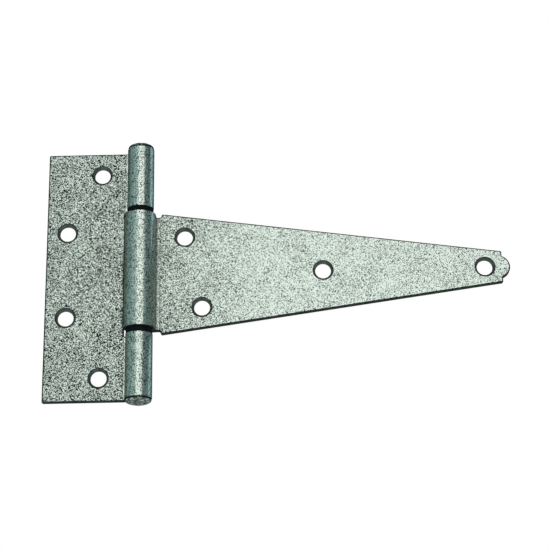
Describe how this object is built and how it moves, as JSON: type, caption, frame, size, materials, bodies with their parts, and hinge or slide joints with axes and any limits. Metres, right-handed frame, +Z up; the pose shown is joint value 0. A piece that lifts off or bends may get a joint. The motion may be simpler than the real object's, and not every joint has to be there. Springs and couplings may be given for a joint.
{
  "type": "t hinge",
  "caption": "Surface-mounted T hinge: rectangular pad leaf, long tapering strap leaf and a riveted pin turning in flanged plastic bushings.",
  "frame": {"origin": "centre of the pad leaf's four screw holes, on its back face, where it meets the post", "axes": "+X toward the strap's tip, +Z up along the pin, +Y out of the back faces into the post"},
  "size_m": [0.2555, 0.017, 0.15],
  "materials": {
    "pad_steel": "galvanised, mottled and speckled, darker than the strap",
    "strap_steel": "galvanised, pale with fine dark specks",
    "pin_steel": "galvanised, peened heads",
    "nylon": "black moulded nylon"
  },
  "bodies": {
    "pad": {"pad_leaf": "pad_steel", "hinge_pin": "pin_steel"},
    "strap": {"strap_leaf": "strap_steel", "upper_bushing": "nylon", "lower_bushing": "nylon"}
  },
  "joints": [
    {"name": "strap_swing", "type": "hinge", "parent": "pad", "child": "strap", "pos_m": [0.03145, -0.0074, 0], "axis": [0, 0, -1], "range_deg": [-90, 180]}
  ]
}
